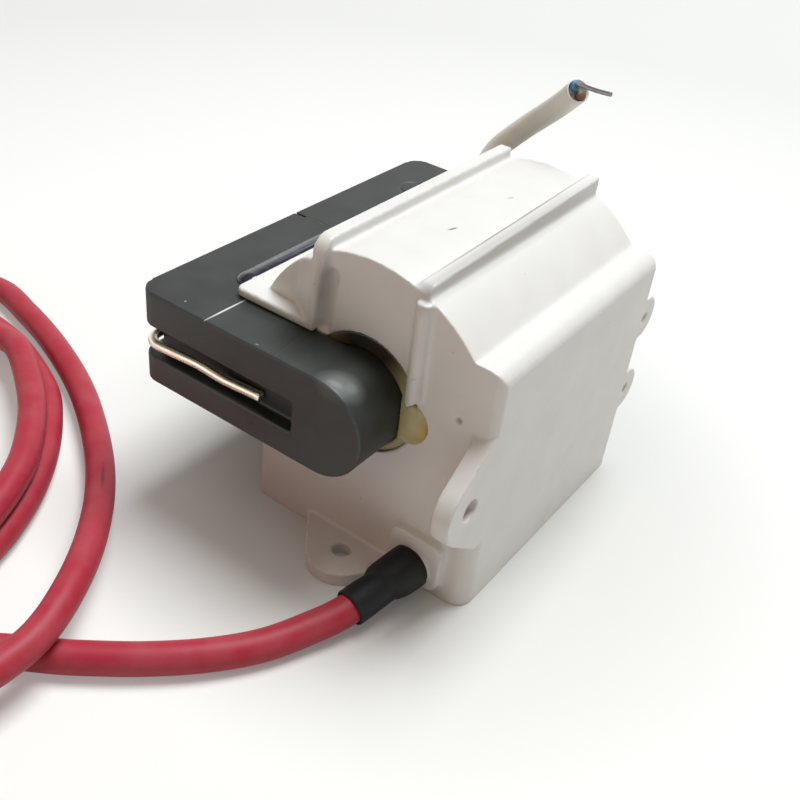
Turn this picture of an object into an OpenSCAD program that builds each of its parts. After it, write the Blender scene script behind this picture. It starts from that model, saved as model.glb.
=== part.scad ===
// High-voltage flyback transformer: a potted coil case on one leg of a two-piece ferrite U core.
// Millimetres, +Z up. The origin lies on the base plane, under the round leg's axis, in the plane
// where the two core halves meet. The core's legs run along Y, and the case's front looks to -Y.

/* [Core] */
// Radius of the round core leg
leg_r = 10; // [9:0.5:11]
// Height of the round leg's axis above the base
axis_h = 36.5; // [35:0.5:38]
// Length of one core half, from the seam to the yoke's outer face
core_half_l = 45.5; // [41:0.5:50]
// Thickness of each yoke along Y
yoke_t = 12; // [9:0.5:14]
// Width of the square outer leg along X
outer_leg_w = 20; // [17:0.5:23]
// Air between the outer leg and the case's left wall
window_air = 0.8; // [0.6:0.1:2.5]
// Radius of the outer leg's upright corners
core_corner_r = 4; // [3.6:0.1:6]
// Thickness of the spacers between the two core halves
gap_t = 0.4; // [0.2:0.1:1]
// Height of the clip's groove in the core
groove_h = 6.7; // [4:0.1:9]
// How far the groove's middle lies below the round leg's axis
groove_drop = 0.8; // [0:0.1:1.5]
// Depth of the clip's groove
groove_depth = 3; // [2.6:0.1:3.4]
// Distance from the round leg's axis to the closed end of the yoke's groove
groove_stop = 5.4; // [3:0.2:8]

/* [Clip] */
// Diameter of the clip's wire
clip_d = 2; // [1.2:0.1:2.2]
// Centreline radius of the clip's two bends
clip_bend_r = 3.4; // [3:0.1:4]
// Distance from the round leg's axis to the tips of the clip's arms
clip_stop = 15; // [10:0.2:20]
// Angle at which the clip's arms close in on the core
clip_squeeze = 4.6; // [2:0.1:6]

/* [Case] */
// Distance from the round leg's axis to the case's left wall
case_left = 23; // [21.5:0.5:24]
// Distance from the round leg's axis to the case's right wall
case_right = 28.5; // [27:0.5:32]
// Air between the front yoke and the case's front face
yoke_gap = 0.5; // [0.3:0.1:2]
// Distance from the rear yoke to the case's back rim
back_gap = 6.3; // [4.5:0.1:9]
// Radius of the round coil chamber
dome_r = 28.2; // [27:0.1:29]
// Distance of the chamber's axis to the right of the leg's axis
dome_shift = 0.6; // [0:0.1:1.5]
// Height of the shoulder to the right of the chamber
shoulder_h = 54.4; // [51:0.2:57]
// Radius of the shoulder's outer edge
shoulder_r = 3; // [2.5:0.1:4]
// Radius of the hollow between chamber and shoulder
blend_r = 2; // [1:0.1:3]
// Thickness of the side walls and the floor
wall = 2; // [1.6:0.1:2.2]
// Thickness of the front wall
front_wall = 3; // [2.5:0.1:3.5]
// Radius of the front right upright edge below the side lug
low_corner_r = 3.6; // [3:0.1:5]
// Radius of the front right upright edge above the side lug
high_corner_r = 1.8; // [1:0.1:2.5]
// Radius of the front left upright edge
left_corner_r = 0.8; // [0.5:0.1:2]
// How far the chamber's front left of the rib lies behind the front face
setback = 2.2; // [1:0.1:2.4]
// How far the chamber left of the rib lies below its round
side_drop = 0.9; // [0.3:0.1:1.2]
// Radius of the two small lugs on the back rim
rim_lug_r = 4.8; // [4:0.1:6]
// How far the small lugs' holes lie past the back rim
rim_lug_out = 1.2; // [0.2:0.1:1.5]
// Radius of the small lugs' holes
rim_lug_hole_r = 1.2; // [0.8:0.1:1.6]
// Height of the lower small lug
rim_lug_low_z = 21; // [15:0.5:25]
// Height of the upper small lug
rim_lug_high_z = 39.2; // [36:0.1:42]

/* [Ribs and flange] */
// Thickness of the top ribs
rib_w = 2.8; // [2:0.1:3.5]
// Distance from the leg's axis to the middle of the left rib
rib_left_x = 9.8; // [8:0.2:12]
// Distance from the leg's axis to the middle of the right rib
rib_right_x = 10.8; // [9:0.2:12]
// How far the left rib's top stands above the chamber's top
rib_left_rise = 0.7; // [0.3:0.1:2]
// How far the right rib's top lies below the chamber's top at the front
rib_right_drop = 0.5; // [0:0.1:1]
// How much the right rib's top climbs towards the back
rib_right_climb = 1.4; // [0:0.1:2]
// How far the left rib's column and the flange stand off the front face
column_reach = 1.8; // [1:0.1:2.2]
// How far the column's foot lies left of the rib's right side
column_lean = 1.8; // [0.5:0.1:2.4]
// Length of the slope from the column's front back to the chamber
column_slope = 7.5; // [4:0.1:9]
// Radius of the groove right of the column
valley_r = 1.4; // [1:0.1:1.6]
// Depth of the groove right of the column
valley_depth = 1.2; // [0.8:0.1:1.3]
// Radius of the left rib's front top corner
column_r = 3.4; // [2.5:0.1:5]
// Radius of the right rib's front top corner
rib_nose_r = 2.2; // [1:0.1:3]
// Width of the upright bar on the front face
bar_w = 3; // [2:0.1:4]
// Distance from the leg's axis to the middle of the bar
bar_x = 11.8; // [11.8:0.1:13]
// How far the bar stands off the front face
bar_reach = 1.8; // [1.5:0.1:2.2]
// Height of the bar's pointed foot above the leg's axis
bar_foot = 4.2; // [3:0.1:8]
// How far the flange reaches over the outer leg
flange_lap = 5.2; // [3:0.1:8]
// Thickness of the flange
flange_t = 1.7; // [1.2:0.1:2.5]

/* [Screw ears] */
// Radius of the foot tab's screw hole
tab_hole_r = 1.9; // [1.5:0.05:2.3]
// Radius of the side lug's screw hole
lug_hole_r = 2.2; // [1.5:0.05:2.6]
// Distance of the foot tab's hole from the front face
tab_out = 4.5; // [4:0.1:6]
// Distance of the side lug's hole from the front face
lug_out = 4.1; // [4:0.1:6]
// Radius of each ear's round end
ear_end_r = 7.2; // [6:0.1:8]
// Half the width of each ear at its root
ear_root = 12.4; // [11:0.1:13]
// Thickness of the foot tab
tab_t = 3; // [2:0.1:4]
// Distance of the foot tab's hole to the right of the leg's axis
tab_x = 2.6; // [1:0.1:4]
// Thickness of the side lug
lug_t = 3.7; // [3:0.1:4.5]
// Height of the side lug's hole above the base
lug_z = 28.7; // [27:0.1:30]

/* [High-voltage lead] */
// Diameter of the red lead
lead_d = 6; // [5:0.1:6.2]
// Width of the raised boss round the lead
boss_w = 11.8; // [11:0.1:13]
// Height of the raised boss
boss_h = 11.5; // [11:0.1:12]
// Distance of the boss's middle to the right of the leg's axis
boss_x = 17.4; // [16.5:0.1:17.5]
// Height of the boss's middle above the base
boss_z = 8.2; // [8:0.1:9]
// How far the boss stands off the front face
boss_t = 2; // [1.5:0.1:2.5]
// Corner radius of the boss
boss_r = 2.5; // [1.5:0.1:3]
// Depth of the lead's axis below the boss's middle
lead_drop = 1.4; // [1:0.1:1.5]
// Angle of the lead's root towards the left
lead_swing = 12; // [8:0.5:15]
// Downward angle of the lead's root
lead_dip = 8.3; // [6:0.1:10]
// Wall of the spigot round the lead
spigot_wall = 0.7; // [0.5:0.05:0.9]
// Length of the spigot
spigot_l = 5.5; // [4:0.1:7]
// Wall of the shrink sleeve
sleeve_wall = 0.5; // [0.3:0.05:0.6]
// Length of the sleeve over the spigot
sleeve_big_l = 6.5; // [5.6:0.1:8]
// Length of the sleeve's neck
sleeve_neck_l = 2.5; // [1.5:0.1:4]
// Length of the sleeve on the lead itself
sleeve_small_l = 6.5; // [4:0.1:8]

/* [Two-core lead] */
// Diameter of the white jacket
jacket_d = 5; // [4.8:0.1:5.4]
// Diameter of each insulated core
strand_d = 2.2; // [1.6:0.05:2.3]
// How far the blue core stands out of the jacket
blue_out = 0.8; // [0.4:0.1:2]
// How far the brown core stands out of the jacket
brown_out = 0.3; // [0.2:0.1:1]
// Diameter of the bare wire
wire_d = 0.9; // [0.6:0.05:1]

/* [Coil inside] */
// Wall of the primary bobbin's tube
bobbin_wall = 1.2; // [0.8:0.1:1.4]
// Build of the primary winding
primary_build = 1.2; // [0.8:0.1:1.3]
// Wall of the secondary former's tube
former_wall = 1; // [0.8:0.1:1.2]
// Radius of the secondary former's flanges
former_r = 19.4; // [19:0.1:19.5]
// Thickness of the former's flanges
former_flange_t = 1; // [0.7:0.1:1.3]
// How far the winding sections lie below the flanges' rim
section_drop = 0.8; // [0.4:0.1:1.5]
// Depth of the potting's face below the back rim
potting_drop = 2; // [1:0.1:3]
// Radius of the rectifier rods
rod_r = 1.5; // [1.2:0.1:1.7]
// Length of the rectifier rods
rod_l = 18; // [12:0.5:24]
// Angle of the first rectifier rod above the level of the leg's axis
rod_first = 30; // [20:1:40]
// Angle from one rectifier rod to the next
rod_step = 35; // [25:1:40]

/* [Glue] */
// How much larger the case's front hole is than the round leg
glue_w = 2; // [1.8:0.1:2.6]
// How far the front hole's middle lies to the right of the leg's axis
hole_aside = 0.8; // [0:0.1:1]
// How far the front hole's middle lies above the leg's axis
hole_up = 1.3; // [0:0.1:1.4]
// How far the glue round the leg lies behind the front face
glue_sunk = 0.3; // [0.2:0.1:0.5]
// Radius of the amber blob's round top
blob_r = 8; // [6:0.1:12]
// How far the amber blob stands off the front face
blob_rise = 1.5; // [1:0.1:2]
// Radius of the dark bead's round top
bead_r = 4; // [3:0.1:5]
// How far the dark bead stands off the core
bead_rise = 1.5; // [0.8:0.1:1.6]
// Distance of the dark bead's middle from the flange's edge
bead_out = 1.3; // [1:0.1:2]

/* [Hidden] */
$fn = 72;
// Clearance between parts that lie inside one another
fit = 0.1;
// Overlap that joins the parts of one moulding, and overshoot of a cut
join = 1;
// How far an outline's rounding reaches into what it runs into, so that the two cross
sink = 0.03;
// Number of secondary winding sections
section_count = 6;
// Number of rectifier rods
rod_count = 3;

SECTIONS = ["secondary_section_1", "secondary_section_2", "secondary_section_3", "secondary_section_4",
    "secondary_section_5", "secondary_section_6"];
RODS = ["rectifier_rod_1", "rectifier_rod_2", "rectifier_rod_3"];

core_top = axis_h + leg_r;
core_low = axis_h - leg_r;
groove_mid = axis_h - groove_drop;
// Distances from the core's seam to the case's front face and back rim
case_front = core_half_l - yoke_t - yoke_gap;
case_back = core_half_l - yoke_t - back_gap;
outer_leg_in = case_left + window_air;
outer_leg_out = outer_leg_in + outer_leg_w;
dome_top = axis_h + dome_r;
hole_r = leg_r + glue_w;
flange_z = core_top + fit;
flange_edge = outer_leg_in + flange_lap;
// Distances from the leg's axis to the right side of the left rib and of its column's foot
rib_side = rib_left_x - rib_w / 2;
column_foot = rib_side + column_lean;
// Middle of the hollow between chamber and shoulder
blend_z = shoulder_h + blend_r - sink;
blend_x = dome_shift + sqrt(pow(dome_r + blend_r - sink, 2) - pow(blend_z - axis_h, 2));

bobbin_in = leg_r + fit;
bobbin_out = bobbin_in + bobbin_wall;
primary_in = bobbin_out + fit;
primary_out = primary_in + primary_build;
former_in = primary_out + fit;
former_out = former_in + former_wall;
section_in = former_out + fit;
section_out = former_r - section_drop;
potting_front = fit - case_front + front_wall;
potting_back = case_back - potting_drop;
former_front = potting_front + fit;
former_back = potting_back - former_flange_t - join;
section_pitch = (former_back - former_front - former_flange_t) / section_count;

// Where the lead's axis meets the boss's face, and the way that the lead leaves it
lead_exit = [boss_x, -case_front - boss_t, boss_z - lead_drop];
lead_way = [-sin(lead_swing) * cos(lead_dip), -cos(lead_swing) * cos(lead_dip), -sin(lead_dip)];
lead_bore_r = lead_d / 2 + 2 * fit;
spigot_r = lead_bore_r + spigot_wall;
sleeve_l = sleeve_big_l + sleeve_neck_l + sleeve_small_l;
lead_root_l = boss_t + front_wall + 3 * join;

// The red lead's route from its root in the case along the table to its coil
hv_route = concat([lead_exit - lead_root_l * lead_way, lead_exit, lead_exit + sleeve_l * lead_way],
    [[11, -58, 3.5], [7, -66, 3], [1, -74, 3], [-6, -81, 3], [-12, -86, 3], [-17.1, -89.9, 3]]);

// The loose coil of the red lead: middle, direction of its long way, half sizes and height
coil_middle = [-80, -85];
coil_turn = -37;
coil_out = [74, 47];
coil_in = [40, 23];
coil_h = 12;

// The white lead's route from inside the potting, over the rear yoke and up to its cut end
jacket_route = [[-18, 16, 50.5], [-18, 25, 50.5], [-18.4, 29.5, 50.8], [-19.2, 34, 52.2], [-19.6, 37.6, 55],
    [-18.4, 39.6, 58.7], [-15.4, 40.2, 62.4], [-11.8, 40.2, 66.2], [-8.3, 39.6, 69.6], [-5.7, 38.5, 72.1],
    [-3, 37, 74.8], [0.4, 34.5, 78.4]];
jacket_end = jacket_route[len(jacket_route) - 1];
jacket_way = unit(jacket_end - jacket_route[len(jacket_route) - 2]);
// Side of the jacket's end on which the blue core lies
blue_side = unit(cross(jacket_way, [0, 1, 0]));
strand_off = (strand_d + fit) / 2;
strand_depth = 3 * join;
wire_root = jacket_end + strand_off * blue_side - join * jacket_way;
// The bare wire's bend past the end of the blue core
wire_route = concat([wire_root, jacket_end + strand_off * blue_side + (blue_out + fit) * jacket_way],
    [[2.2, 33, 80.2], [4.4, 32.5, 80.3], [6.6, 32.2, 80.4], [8.7, 32, 80.6]]);

// The vector of length one that points the same way
function unit(v) = v / norm(v);

// The way along a route at its point i, halfway between the stretches that meet there
function heading(route, i) =
    i == 0 ? unit(route[1] - route[0])
    : i == len(route) - 1 ? unit(route[i] - route[i - 1])
    : unit(unit(route[i] - route[i - 1]) + unit(route[i + 1] - route[i]));

// Points of a ring of the given radius and number of sides across a route at its point i
function ring(route, i, r, sides, aside) =
    let (way = heading(route, i), right = unit(cross(way, aside)), up = cross(right, way))
    [for (k = [0 : sides - 1]) route[i] + r * (cos(360 * k / sides) * right + sin(360 * k / sides) * up)];

// Points of an oval with half sizes a and b
function oval(half, count = 64) =
    [for (k = [0 : count - 1]) [half.x * cos(360 * k / count), half.y * sin(360 * k / count)]];

// A round tube that follows a route, with a ring at each of its points
module tube(route, r, sides, aside) {
    last = len(route) - 1;
    points = [for (i = [0 : last]) each ring(route, i, r, sides, aside)];
    near_cap = [[for (k = [0 : sides - 1]) k]];
    far_cap = [[for (k = [sides - 1 : -1 : 0]) last * sides + k]];
    walls = [for (i = [0 : last - 1], k = [0 : sides - 1])
        let (a = i * sides + k, b = i * sides + (k + 1) % sides)
        each [[a, a + sides, b + sides], [a, b + sides, b]]];
    polyhedron(points, concat(near_cap, far_cap, walls));
}

// Puts a child that stands on Z at a base point, leaning along a way
module along(base, way) {
    translate(base) rotate([0, acos(way.z), atan2(way.y, way.x)]) children();
}

// Turns an outline drawn in X and Z into a solid from y_from to y_to
module deep(y_from, y_to) {
    translate([0, y_to, 0]) rotate([90, 0, 0]) linear_extrude(y_to - y_from) children();
}

// Turns an outline drawn in Y and Z into a solid from x_from to x_to
module wide(x_from, x_to) {
    translate([x_from, 0, 0]) rotate([90, 0, 90]) linear_extrude(x_to - x_from) children();
}

// A cylinder along Y round the leg's axis
module leg_rod(r, y_from, y_to) {
    deep(y_from, y_to) translate([0, axis_h]) circle(r);
}

// A ring along Y round the leg's axis
module leg_ring(r_in, r_out, y_from, y_to) {
    deep(y_from, y_to) translate([0, axis_h]) difference() {
        circle(r_out);
        circle(r_in);
    }
}

// The case's section across the leg, drawn smaller by an inset
module case_outline(inset) {
    left = case_left - inset;
    right = case_right - inset;
    top = shoulder_h - inset;
    edge_r = max(shoulder_r - inset, fit);
    blend_end = min(blend_x, right - edge_r);
    intersection() {
        translate([dome_shift, axis_h]) circle(dome_r - inset);
        translate([-left, inset]) square([left + right, dome_top]);
    }
    translate([-left, inset]) square([left + right, axis_h - inset]);
    translate([0, inset]) square([right - edge_r, top - inset]);
    translate([0, inset]) square([right, top - edge_r - inset]);
    translate([right - edge_r, top - edge_r]) circle(edge_r);
    difference() {
        polygon([[dome_shift, axis_h], [blend_end, axis_h], [blend_end, blend_z]]);
        translate([blend_x, blend_z]) circle(blend_r + inset);
    }
}

// What rounds off an upright front edge: sign is 1 for the right edge and -1 for the left
module edge_round(edge_x, sign, r, z_from, z_to) {
    translate([edge_x - sign * r, r - case_front, z_from]) linear_extrude(z_to - z_from) difference() {
        translate([sign > 0 ? 0 : -r - join, -r - join]) square(r + join);
        circle(r);
    }
}

// An ear's outline: its root lies along X and its hole at a distance along +Y, and its sides
// run from the root's ends to where they touch the round end
module ear_outline(out, hole_r, seat) {
    touch_r = ear_end_r - sink;
    reach = sqrt(pow(ear_root, 2) + pow(out, 2));
    lean = atan2(out, ear_root) + asin(touch_r / reach);
    side = sqrt(pow(reach, 2) - pow(touch_r, 2));
    touch = [ear_root - side * cos(lean), side * sin(lean)];
    difference() {
        union() {
            translate([0, out]) circle(ear_end_r);
            polygon([[-ear_root, 0], [-touch.x, touch.y], [0, out], touch, [ear_root, 0],
                [ear_root, -seat], [-ear_root, -seat]]);
        }
        translate([0, out]) circle(hole_r);
    }
}

// The chamber's section left of the rib, where it reaches over the outer leg
module side_outline() {
    intersection() {
        translate([dome_shift, axis_h]) circle(dome_r - side_drop);
        translate([-dome_r, flange_z]) square([dome_r - rib_left_x, dome_r]);
    }
}

// The case's block with its rounded front edges and the lower, set-back chamber left of the rib
module case_block() {
    difference() {
        deep(-case_front, case_back) case_outline(0);
        edge_round(case_right, 1, low_corner_r, -join, lug_z);
        edge_round(case_right, 1, high_corner_r, lug_z, shoulder_h + join);
        edge_round(-case_left, -1, left_corner_r, -join, flange_z);
        deep(-case_front - join, case_back + join)
            translate([-dome_r, flange_z]) square([dome_r - rib_left_x, dome_r]);
    }
    deep(setback - case_front, case_back) side_outline();
}

// The rib left of the chamber's top
module left_rib() {
    rib_top = dome_top + rib_left_rise;
    start = column_r - case_front - column_reach;
    wide(-rib_left_x - rib_w / 2, -rib_side) {
        translate([start, axis_h]) square([case_back - start, rib_top - axis_h]);
        translate([start, rib_top - column_r]) circle(column_r);
    }
}

// The column under the left rib's front end: it stands on the core, and its left side slopes
// back to the chamber
module rib_column() {
    front = -case_front - column_reach;
    rear = join + setback - case_front;
    left = -rib_left_x - rib_w / 2;
    intersection() {
        translate([0, 0, flange_z]) linear_extrude(dome_r)
            polygon([[-rib_side, front], [left, front], [left - column_slope, rear], [-rib_side, rear]]);
        deep(front - join, rear + join) intersection() {
            translate([dome_shift, axis_h]) circle(dome_r - side_drop);
            polygon([[-dome_r, flange_z], [-column_foot, flange_z], [-rib_side, dome_top],
                [-dome_r, dome_top]]);
        }
    }
}

// What the groove right of the column takes away. It ends under the left rib's round front end.
module valley() {
    way = unit([column_lean, 0, dome_top - flange_z]);
    base = [valley_r - 3 * fit - column_foot, valley_depth - valley_r - case_front, flange_z];
    length = (dome_top + rib_left_rise - 2 * column_r - flange_z) / way.z;
    along(base, way) {
        cylinder(r = valley_r, h = length);
        translate([0, 0, length]) sphere(valley_r);
    }
}

// The rib right of the chamber's top
module right_rib() {
    rib_top = dome_top - rib_right_drop;
    wide(rib_right_x - rib_w / 2, rib_right_x + rib_w / 2) {
        polygon([[-case_front, axis_h], [case_back, axis_h], [case_back, rib_top + rib_right_climb],
            [rib_nose_r - case_front, rib_top], [-case_front, rib_top - rib_nose_r]]);
        translate([rib_nose_r - case_front, rib_top - rib_nose_r]) circle(rib_nose_r);
    }
}

// The block with its ribs and the groove between the left rib's column and the chamber's front
module grooved_block() {
    difference() {
        union() {
            case_block();
            rib_column();
        }
        valley();
    }
    left_rib();
    right_rib();
}

// The half-round upright bar on the front face, with its pointed foot
module front_bar() {
    half = bar_w / 2;
    foot = axis_h + bar_foot;
    top = axis_h + sqrt(pow(dome_r, 2) - pow(bar_x + half - dome_shift, 2)) - fit;
    intersection() {
        translate([bar_x, -case_front, 0]) linear_extrude(dome_top) {
            translate([0, half - bar_reach]) circle(half);
            translate([-half, half - bar_reach]) square([bar_w, front_wall]);
        }
        deep(-case_front - bar_reach - join, front_wall - case_front) translate([bar_x, 0])
            polygon([[-half, foot + half], [-half / 3, foot], [half, foot + half],
                [half, top], [-half, top]]);
    }
}

// The flange that lies on the core's outer leg and in front of the case on the yoke
module core_flange() {
    front = -case_front - column_reach;
    translate([0, 0, flange_z]) linear_extrude(flange_t) {
        translate([-flange_edge, flange_t + front])
            square([flange_edge - column_foot, case_back - front - flange_t]);
        translate([flange_t - flange_edge, front])
            square([flange_edge - column_foot - flange_t, front_wall + column_reach]);
        translate([flange_t - flange_edge, flange_t + front]) circle(flange_t);
    }
}

// The tab with a screw hole at the case's foot
module foot_tab() {
    translate([tab_x, -case_front, 0]) linear_extrude(tab_t) mirror([0, 1])
        ear_outline(tab_out, tab_hole_r, join);
}

// The lug with a screw hole in the plane of the right wall
module side_lug() {
    wide(case_right - lug_t, case_right) translate([-case_front, lug_z]) rotate(90)
        ear_outline(lug_out, lug_hole_r, low_corner_r);
}

// The raised pad and spigot that the red lead leaves through
module lead_boss() {
    deep(-case_front - boss_t, join - case_front) translate([boss_x, boss_z]) {
        square([boss_w - 2 * boss_r, boss_h], center = true);
        square([boss_w, boss_h - 2 * boss_r], center = true);
        for (side = [-1, 1], end = [-1, 1])
            translate([side * (boss_w / 2 - boss_r), end * (boss_h / 2 - boss_r)]) circle(boss_r);
    }
    along(lead_exit - boss_t * lead_way, lead_way) cylinder(r = spigot_r, h = boss_t + spigot_l);
}

// The small round lugs on the back rim, each with a hole
module rim_lugs() {
    for (z = [rim_lug_low_z, rim_lug_high_z])
        wide(case_right - wall, case_right) translate([case_back + rim_lug_out, z]) circle(rim_lug_r);
}

// The holes through the small lugs
module rim_lug_holes() {
    for (z = [rim_lug_low_z, rim_lug_high_z])
        wide(case_right - wall - join, case_right + join) translate([case_back + rim_lug_out, z])
            circle(rim_lug_hole_r);
}

// The bore that the lead's root lies in
module lead_bore(r) {
    along(lead_exit - (lead_root_l + fit) * lead_way, lead_way) cylinder(r = r, h = lead_root_l + sleeve_l);
}

// The outline of the front hole, or of what lies in it
module leg_hole(r) {
    translate([hole_aside, axis_h + hole_up]) circle(r);
}

module case_shell() {
    color("whitesmoke") difference() {
        union() {
            difference() {
                grooved_block();
                deep(-case_front - join, join - case_front) leg_hole(hole_r);
            }
            front_bar();
            core_flange();
            foot_tab();
            side_lug();
            lead_boss();
            rim_lugs();
        }
        deep(front_wall - case_front, case_back + join) case_outline(wall);
        leg_rod(bobbin_out + 2 * fit, fit - case_front, join - case_front + front_wall);
        lead_bore(lead_bore_r);
        rim_lug_holes();
    }
}

module potting() {
    color("ivory") difference() {
        deep(potting_front, potting_back) case_outline(wall + fit);
        leg_rod(former_r + fit, potting_front - join, former_back + fit);
        leg_rod(bobbin_out + fit, potting_front - join, potting_back + join);
        lead_bore(lead_bore_r);
        along(jacket_route[0] - fit * [0, 1, 0], [0, 1, 0]) cylinder(d = jacket_d + 2 * fit, h = case_back);
        for (i = [0 : rod_count - 1]) rectifier_space(i, fit);
    }
}

// The core half's outline seen from above, drawn smaller by an inset, without the round leg
module core_outline(inset) {
    out = outer_leg_out - inset;
    end = core_half_l - inset;
    round_r = max(core_corner_r - inset, fit);
    polygon([[0, -end], [round_r - out, -end], [-out, round_r - end], [-out, -gap_t / 2],
        [-outer_leg_in, -gap_t / 2], [-outer_leg_in, yoke_t - core_half_l], [0, yoke_t - core_half_l]]);
    translate([round_r - out, round_r - end]) circle(round_r);
}

// One U-shaped core half, at the front. The groove leaves standing what lies deeper than its floor.
module core_half() {
    color("dimgray") difference() {
        union() {
            translate([0, 0, core_low]) linear_extrude(2 * leg_r) core_outline(0);
            leg_rod(leg_r, -core_half_l, -gap_t / 2);
        }
        translate([0, 0, groove_mid - groove_h / 2]) linear_extrude(groove_h) difference() {
            translate([-outer_leg_out - join, -core_half_l - join])
                square([outer_leg_out + join - groove_stop, core_half_l + 2 * join]);
            core_outline(groove_depth);
            translate([-outer_leg_out + groove_depth, groove_depth + core_corner_r - core_half_l])
                square([outer_leg_out, core_half_l]);
        }
    }
}

module core_half_front() {
    core_half();
}

module core_half_rear() {
    mirror([0, 1, 0]) core_half();
}

module outer_leg_spacer() {
    color("tan") translate([-outer_leg_out + groove_depth, -gap_t / 2, core_low])
        cube([outer_leg_w - groove_depth, gap_t, 2 * leg_r]);
}

module round_leg_spacer() {
    color("tan") leg_rod(leg_r, -gap_t / 2, gap_t / 2);
}

// The clip's wire: along the outer leg, round both corners and into the grooves of the yokes
module core_clip() {
    side_x = -outer_leg_out + groove_depth - clip_d / 2 - fit;
    tip_y = core_half_l - groove_depth + clip_d / 2 + fit;
    bend_x = side_x + clip_bend_r;
    arm_l = (-clip_stop - bend_x - clip_bend_r * sin(clip_squeeze)) / cos(clip_squeeze);
    bend_y = tip_y - clip_bend_r * cos(clip_squeeze) + arm_l * sin(clip_squeeze);
    color("silver") translate([0, 0, groove_mid]) {
        translate([side_x, bend_y, 0]) rotate([90, 0, 0]) cylinder(d = clip_d, h = 2 * bend_y);
        for (side = [0, 1]) mirror([0, side, 0]) translate([bend_x, -bend_y, 0]) {
            rotate(180) rotate_extrude(angle = 90 + clip_squeeze)
                translate([clip_bend_r, 0]) circle(d = clip_d);
            rotate(clip_squeeze) translate([0, -clip_bend_r, 0]) rotate([0, 90, 0])
                cylinder(d = clip_d, h = arm_l);
        }
    }
}

// The amber glue between the round leg and the case, with the blob that ran out to the right
module leg_glue_front() {
    blob_x = leg_r + glue_w - join;
    blob_foot = sqrt(pow(blob_r, 2) - pow(blob_r - blob_rise, 2));
    color("goldenrod") difference() {
        union() {
            deep(glue_sunk - case_front, join - case_front) leg_hole(hole_r - fit);
            deep(-case_front - fit, join - case_front) intersection() {
                leg_hole(hole_r - fit);
                translate([blob_x, axis_h]) circle(blob_foot);
            }
            intersection() {
                translate([blob_x, blob_r - blob_rise - case_front, axis_h]) sphere(blob_r);
                translate([0, -case_front - blob_rise, core_low])
                    cube([hole_r + blob_r, blob_rise, 2 * leg_r]);
            }
        }
        leg_rod(leg_r + fit, -case_front - blob_r, 2 * join - case_front);
        translate([bar_x - bar_w / 2 - fit, -case_front - blob_r, axis_h + bar_foot - fit])
            cube([blob_r, blob_r + front_wall, leg_r]);
    }
}

// The glue ring where the leg leaves the potting
module leg_glue_rear() {
    color("goldenrod") translate([0, potting_back + fit, axis_h]) rotate([-90, 0, 0]) rotate_extrude()
        polygon([[leg_r + fit, 0], [bobbin_out + glue_w / 2, 0], [bobbin_out, join],
            [leg_r + fit, 2 * join]]);
}

// The dark glue bead on the core along the flange's edge
module core_glue_bead() {
    bead_end = case_back + join;
    bead_z = core_top + bead_rise - bead_r;
    color([0.12, 0.12, 0.2]) intersection() {
        translate([-flange_edge - bead_out, 0, bead_z]) {
            for (end = [-1, 1]) translate([0, end * bead_end, 0]) sphere(bead_r);
            translate([0, -bead_end, 0]) rotate([-90, 0, 0]) cylinder(r = bead_r, h = 2 * bead_end);
        }
        translate([-flange_edge - fit - 2 * bead_r, -case_front, core_top])
            cube([2 * bead_r, 2 * case_front, bead_rise + join]);
    }
}

module primary_bobbin() {
    color("linen") leg_ring(bobbin_in, bobbin_out, join - case_front + fit, potting_back);
}

module primary_winding() {
    color("peru") leg_ring(primary_in, primary_out, former_front + join, former_back - join);
}

module secondary_former() {
    color("gainsboro") {
        leg_ring(former_in, former_out, former_front, former_back);
        for (i = [0 : section_count])
            leg_ring(former_in, former_r, former_front + i * section_pitch,
                former_front + i * section_pitch + former_flange_t);
    }
}

// Winding section i, counted from the front
module secondary_section(i) {
    start = former_front + i * section_pitch + former_flange_t + fit;
    end = start + section_pitch - former_flange_t - 2 * fit;
    color("chocolate") leg_ring(section_in, section_out, start, end);
}

// The space that rectifier rod i takes beside the former, larger by a clearance
module rectifier_space(i, air) {
    turn = rod_first - rod_step * i;
    off = former_r + rod_r + 2 * fit;
    translate([off * cos(turn), (former_front + former_back - rod_l) / 2 - air, axis_h + off * sin(turn)])
        rotate([-90, 0, 0]) cylinder(r = rod_r + air, h = rod_l + 2 * air);
}

module rectifier_rod(i) {
    color("black") rectifier_space(i, 0);
}

// The black shrink sleeve, cut square against the boss's face
module shrink_sleeve() {
    big_in = spigot_r + fit;
    small_in = lead_d / 2 + fit;
    neck = boss_t + sleeve_big_l;
    tip = boss_t + sleeve_l;
    color([0.1, 0.1, 0.1]) difference() {
        along(lead_exit - boss_t * lead_way, lead_way) rotate_extrude() polygon([
            [big_in, 0], [big_in + sleeve_wall, 0], [big_in + sleeve_wall, neck],
            [small_in + sleeve_wall, neck + sleeve_neck_l], [small_in + sleeve_wall, tip], [small_in, tip],
            [small_in, neck + sleeve_neck_l], [big_in, neck]]);
        translate([lead_exit.x - boss_w, lead_exit.y - fit, 0])
            cube([2 * boss_w, 2 * boss_t + boss_w, 3 * boss_h]);
    }
}

module hv_lead() {
    color("crimson") tube(hv_route, lead_d / 2, 12, [0, 0, 1]);
}

module hv_lead_coil() {
    color("crimson") translate(coil_middle) rotate(coil_turn) linear_extrude(coil_h) difference() {
        polygon(oval(coil_out));
        polygon(oval(coil_in));
    }
}

// A round core of the white lead, on the given side of the jacket's axis
module strand(side, out) {
    along(jacket_end + side * strand_off * blue_side - strand_depth * jacket_way, jacket_way)
        cylinder(d = strand_d, h = strand_depth + out);
}

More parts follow.
